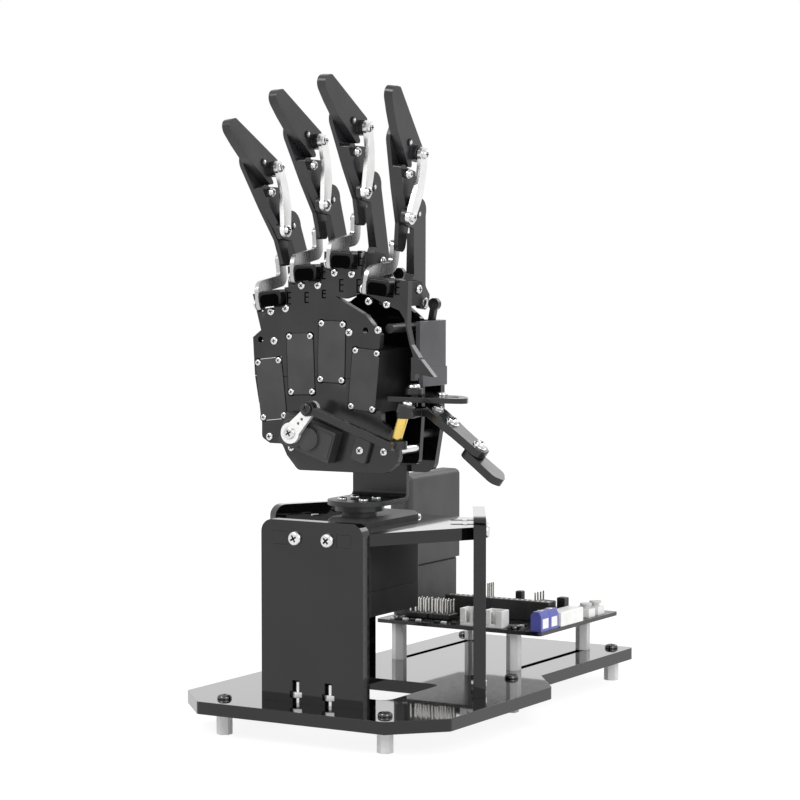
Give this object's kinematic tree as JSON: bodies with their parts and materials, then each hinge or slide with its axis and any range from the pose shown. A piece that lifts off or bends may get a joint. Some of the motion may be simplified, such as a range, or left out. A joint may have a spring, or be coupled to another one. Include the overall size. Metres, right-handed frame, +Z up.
{
  "type": "desktop robot hand",
  "caption": "Desktop robot hand with linkage fingers and thumb driven by palm servos, turning on a servo bracket over a three-sided black stand with a control board.",
  "frame": {"origin": "on the desk, on the pan axis, at the plane the stand-off feet rest on", "axes": "+Z up along the pan axis, palm towards -Y, thumb towards +X, control board towards +Y"},
  "size_m": [0.1319, 0.2106, 0.2593],
  "materials": {
    "black_acrylic": "polished",
    "nylon_white": "satin",
    "steel": "bright",
    "silver_sheet": "satin",
    "grey_sheet": "anodised",
    "servo_black": "satin",
    "servo_alloy": "satin",
    "board_green": "satin",
    "connector_mix": "satin",
    "violet_plastic": "satin",
    "box_grey": "matt",
    "button_cap": "satin"
  },
  "bodies": {
    "stand": {"base_plate": "black_acrylic", "hex_standoffs": "nylon_white", "frame_fasteners": "steel", "stand_front_plate": "black_acrylic", "stand_right_plate": "black_acrylic", "stand_left_plate": "black_acrylic", "stand_top_plate": "black_acrylic", "pan_servo": "servo_black", "control_board": "board_green", "board_connectors": "connector_mix", "terminal_block": "violet_plastic", "button_bodies": "steel", "battery_box_lower": "box_grey", "battery_box_upper": "box_grey"},
    "hand": {"pan_horn": "servo_black", "wrist_bracket": "grey_sheet", "palm_upper_plate": "grey_sheet", "palm_lower_plate": "grey_sheet", "palm_mid_plate": "black_acrylic", "back_plate": "black_acrylic", "back_cover": "black_acrylic", "finger_servos": "servo_alloy", "thumb_servo": "servo_alloy", "palm_fasteners": "steel", "knuckle_blocks": "black_acrylic", "thumb_bracket": "grey_sheet"},
    "little_proximal": {"little_proximal": "black_acrylic"},
    "little_middle": {"little_middle": "black_acrylic"},
    "little_distal": {"little_distal": "black_acrylic"},
    "little_curl_link": {"little_curl_link": "silver_sheet"},
    "little_drive_link": {"little_drive_link": "silver_sheet"},
    "little_servo_arm": {"little_servo_arm": "servo_black"},
    "little_push_rod": {"little_push_rod": "servo_black"},
    "ring_proximal": {"ring_proximal": "black_acrylic"},
    "ring_middle": {"ring_middle": "black_acrylic"},
    "ring_distal": {"ring_distal": "black_acrylic"},
    "ring_curl_link": {"ring_curl_link": "silver_sheet"},
    "ring_drive_link": {"ring_drive_link": "silver_sheet"},
    "ring_servo_arm": {"ring_servo_arm": "servo_black"},
    "ring_push_rod": {"ring_push_rod": "servo_black"},
    "middle_proximal": {"middle_proximal": "black_acrylic"},
    "middle_middle": {"middle_middle": "black_acrylic"},
    "middle_distal": {"middle_distal": "black_acrylic"},
    "middle_curl_link": {"middle_curl_link": "silver_sheet"},
    "middle_drive_link": {"middle_drive_link": "silver_sheet"},
    "middle_servo_arm": {"middle_servo_arm": "servo_black"},
    "middle_push_rod": {"middle_push_rod": "servo_black"},
    "index_proximal": {"index_proximal": "black_acrylic"},
    "index_middle": {"index_middle": "black_acrylic"},
    "index_distal": {"index_distal": "black_acrylic"},
    "index_curl_link": {"index_curl_link": "silver_sheet"},
    "index_drive_link": {"index_drive_link": "silver_sheet"},
    "index_servo_arm": {"index_servo_arm": "servo_black"},
    "index_push_rod": {"index_push_rod": "servo_black"},
    "thumb_carrier": {"thumb_carrier": "black_acrylic"},
    "thumb_tip": {"thumb_tip": "black_acrylic"},
    "thumb_servo_arm": {"thumb_servo_arm": "silver_sheet"},
    "thumb_rod": {"thumb_rod": "servo_black"},
    "key_button_front": {"key_button_front": "button_cap"},
    "key_button_rear": {"key_button_rear": "button_cap"}
  },
  "joints": [
    {"name": "hand_pan", "type": "hinge", "parent": "stand", "child": "hand", "pos_m": [0, 0, 0.0873], "axis": [0, 0, 1], "range_deg": [-90, 90]},
    {"name": "little_curl", "type": "hinge", "parent": "hand", "child": "little_proximal", "pos_m": [-0.02958, 0.0015, 0.17121], "axis": [0.9925, 0, 0.1219], "range_deg": [0, 40]},
    {"name": "little_middle_joint", "type": "hinge", "parent": "little_proximal", "child": "little_middle", "pos_m": [-0.03315, -0.0039, 0.20029], "axis": [0.9925, 0, 0.1219], "range_deg": [0, 44.5]},
    {"name": "little_tip_joint", "type": "hinge", "parent": "little_middle", "child": "little_distal", "pos_m": [-0.03628, -0.0166, 0.2258], "axis": [0.9925, 0, 0.1219], "range_deg": [0, 44.5]},
    {"name": "little_curl_link_pivot", "type": "hinge", "parent": "little_proximal", "child": "little_curl_link", "pos_m": [-0.03292, -0.011, 0.1984], "axis": [0.9925, 0, 0.1219], "range_deg": [0, 45.38]},
    {"name": "little_drive_link_pivot", "type": "hinge", "parent": "hand", "child": "little_drive_link", "pos_m": [-0.02946, -0.018, 0.17022], "axis": [0.9925, 0, 0.1219], "range_deg": [0, 20.5]},
    {"name": "little_servo_pivot", "type": "hinge", "parent": "hand", "child": "little_servo_arm", "pos_m": [-0.03088, 0.01, 0.14176], "axis": [0, -1, 0], "range_deg": [0, 49.2]},
    {"name": "little_rod_pivot", "type": "hinge", "parent": "little_servo_arm", "child": "little_push_rod", "pos_m": [-0.02272, 0.01, 0.13796], "axis": [0, -1, 0], "range_deg": [-45.98, 0]},
    {"name": "ring_curl", "type": "hinge", "parent": "hand", "child": "ring_proximal", "pos_m": [-0.01306, 0.0015, 0.1817], "axis": [0.999, 0, 0.0436], "range_deg": [0, 40]},
    {"name": "ring_middle_joint", "type": "hinge", "parent": "ring_proximal", "child": "ring_middle", "pos_m": [-0.01433, -0.0039, 0.21097], "axis": [0.999, 0, 0.0436], "range_deg": [0, 44.5]},
    {"name": "ring_tip_joint", "type": "hinge", "parent": "ring_middle", "child": "ring_distal", "pos_m": [-0.01545, -0.0166, 0.23665], "axis": [0.999, 0, 0.0436], "range_deg": [0, 44.5]},
    {"name": "ring_curl_link_pivot", "type": "hinge", "parent": "ring_proximal", "child": "ring_curl_link", "pos_m": [-0.01425, -0.011, 0.20908], "axis": [0.999, 0, 0.0436], "range_deg": [0, 45.38]},
    {"name": "ring_drive_link_pivot", "type": "hinge", "parent": "hand", "child": "ring_drive_link", "pos_m": [-0.01301, -0.018, 0.1807], "axis": [0.999, 0, 0.0436], "range_deg": [0, 20.5]},
    {"name": "ring_servo_pivot", "type": "hinge", "parent": "hand", "child": "ring_servo_arm", "pos_m": [-0.01634, 0.01, 0.1521], "axis": [0, -1, 0], "range_deg": [0, 49.23]},
    {"name": "ring_rod_pivot", "type": "hinge", "parent": "ring_servo_arm", "child": "ring_push_rod", "pos_m": [-0.00818, 0.01, 0.14829], "axis": [0, -1, 0], "range_deg": [-47.14, 0]},
    {"name": "middle_curl", "type": "hinge", "parent": "hand", "child": "middle_proximal", "pos_m": [0.00386, 0.0015, 0.187], "axis": [0.9994, 0, -0.0349], "range_deg": [0, 40]},
    {"name": "middle_middle_joint", "type": "hinge", "parent": "middle_proximal", "child": "middle_middle", "pos_m": [0.00489, -0.0039, 0.21628], "axis": [0.9994, 0, -0.0349], "range_deg": [0, 44.5]},
    {"name": "middle_tip_joint", "type": "hinge", "parent": "middle_middle", "child": "middle_distal", "pos_m": [0.00579, -0.0166, 0.24197], "axis": [0.9994, 0, -0.0349], "range_deg": [0, 44.5]},
    {"name": "middle_curl_link_pivot", "type": "hinge", "parent": "middle_proximal", "child": "middle_curl_link", "pos_m": [0.00482, -0.011, 0.21438], "axis": [0.9994, 0, -0.0349], "range_deg": [0, 45.38]},
    {"name": "middle_drive_link_pivot", "type": "hinge", "parent": "hand", "child": "middle_drive_link", "pos_m": [0.00383, -0.018, 0.186], "axis": [0.9994, 0, -0.0349], "range_deg": [0, 20.5]},
    {"name": "middle_servo_pivot", "type": "hinge", "parent": "hand", "child": "middle_servo_arm", "pos_m": [-0.00145, 0.01, 0.1573], "axis": [0, -1, 0], "range_deg": [0, 49.5]},
    {"name": "middle_rod_pivot", "type": "hinge", "parent": "middle_servo_arm", "child": "middle_push_rod", "pos_m": [0.00671, 0.01, 0.15349], "axis": [0, -1, 0], "range_deg": [-48.61, 0]},
    {"name": "index_curl", "type": "hinge", "parent": "hand", "child": "index_proximal", "pos_m": [0.02049, 0.0015, 0.17661], "axis": [0.9936, 0, -0.1132], "range_deg": [0, 40]},
    {"name": "index_middle_joint", "type": "hinge", "parent": "index_proximal", "child": "index_middle", "pos_m": [0.02384, -0.00133, 0.20608], "axis": [0.9936, 0, -0.1132], "range_deg": [0, 44.5]},
    {"name": "index_tip_joint", "type": "hinge", "parent": "index_middle", "child": "index_distal", "pos_m": [0.02697, -0.00913, 0.23348], "axis": [0.9936, 0, -0.1132], "range_deg": [0, 44.5]},
    {"name": "index_curl_link_pivot", "type": "hinge", "parent": "index_proximal", "child": "index_curl_link", "pos_m": [0.0237, -0.00856, 0.20481], "axis": [0.9936, 0, -0.1132], "range_deg": [0, 45.38]},
    {"name": "index_drive_link_pivot", "type": "hinge", "parent": "hand", "child": "index_drive_link", "pos_m": [0.02037, -0.018, 0.17561], "axis": [0.9936, 0, -0.1132], "range_deg": [0, 20.5]},
    {"name": "index_servo_pivot", "type": "hinge", "parent": "hand", "child": "index_servo_arm", "pos_m": [0.01387, 0.01, 0.14667], "axis": [0, -1, 0], "range_deg": [0, 48.91]},
    {"name": "index_rod_pivot", "type": "hinge", "parent": "index_servo_arm", "child": "index_push_rod", "pos_m": [0.02202, 0.01, 0.14287], "axis": [0, -1, 0], "range_deg": [-49.19, 0]},
    {"name": "thumb_close", "type": "hinge", "parent": "hand", "child": "thumb_carrier", "pos_m": [0.03, -0.008, 0.127], "axis": [0, 0, -1], "range_deg": [0, 30]},
    {"name": "thumb_tip_joint", "type": "hinge", "parent": "thumb_carrier", "child": "thumb_tip", "pos_m": [0.05761, -0.008, 0.11348], "axis": [-0.5878, 0, -0.809], "range_deg": [0, 30.5]},
    {"name": "thumb_servo_pivot", "type": "hinge", "parent": "hand", "child": "thumb_servo_arm", "pos_m": [-0.0156, -0.025, 0.1194], "axis": [0, -1, 0], "range_deg": [0, 33.18]},
    {"name": "thumb_rod_pivot", "type": "hinge", "parent": "thumb_servo_arm", "child": "thumb_rod", "pos_m": [-0.00549, -0.028, 0.12951], "axis": [0, -1, 0], "range_deg": [-39.86, 0]},
    {"name": "button_press_front", "type": "slide", "parent": "stand", "child": "key_button_front", "axis": [0, 0, -1], "range_m": [0, 0.0003], "stiffness_N_per_m": 2000},
    {"name": "button_press_rear", "type": "slide", "parent": "stand", "child": "key_button_rear", "axis": [0, 0, -1], "range_m": [0, 0.0003], "stiffness_N_per_m": 2000}
  ],
  "couplings": [
    {"joint": "little_middle_joint", "follows": "little_curl", "ratio": 1.1},
    {"joint": "little_tip_joint", "follows": "little_curl", "ratio": 1.1},
    {"joint": "little_curl_link_pivot", "follows": "little_curl", "ratio": 1.122},
    {"joint": "little_drive_link_pivot", "follows": "little_curl", "ratio": 0.5},
    {"joint": "little_servo_pivot", "follows": "little_curl", "ratio": 1.2175},
    {"joint": "little_rod_pivot", "follows": "little_curl", "ratio": -1.1369},
    {"joint": "ring_middle_joint", "follows": "ring_curl", "ratio": 1.1},
    {"joint": "ring_tip_joint", "follows": "ring_curl", "ratio": 1.1},
    {"joint": "ring_curl_link_pivot", "follows": "ring_curl", "ratio": 1.122},
    {"joint": "ring_drive_link_pivot", "follows": "ring_curl", "ratio": 0.5},
    {"joint": "ring_servo_pivot", "follows": "ring_curl", "ratio": 1.2183},
    {"joint": "ring_rod_pivot", "follows": "ring_curl", "ratio": -1.1661},
    {"joint": "middle_middle_joint", "follows": "middle_curl", "ratio": 1.1},
    {"joint": "middle_tip_joint", "follows": "middle_curl", "ratio": 1.1},
    {"joint": "middle_curl_link_pivot", "follows": "middle_curl", "ratio": 1.122},
    {"joint": "middle_drive_link_pivot", "follows": "middle_curl", "ratio": 0.5},
    {"joint": "middle_servo_pivot", "follows": "middle_curl", "ratio": 1.225},
    {"joint": "middle_rod_pivot", "follows": "middle_curl", "ratio": -1.2028},
    {"joint": "index_middle_joint", "follows": "index_curl", "ratio": 1.1},
    {"joint": "index_tip_joint", "follows": "index_curl", "ratio": 1.1},
    {"joint": "index_curl_link_pivot", "follows": "index_curl", "ratio": 1.122},
    {"joint": "index_drive_link_pivot", "follows": "index_curl", "ratio": 0.5},
    {"joint": "index_servo_pivot", "follows": "index_curl", "ratio": 1.2103},
    {"joint": "index_rod_pivot", "follows": "index_curl", "ratio": -1.2172},
    {"joint": "thumb_tip_joint", "follows": "thumb_close", "ratio": 1},
    {"joint": "thumb_servo_pivot", "follows": "thumb_close", "ratio": 1.0894},
    {"joint": "thumb_rod_pivot", "follows": "thumb_close", "ratio": -1.312}
  ]
}
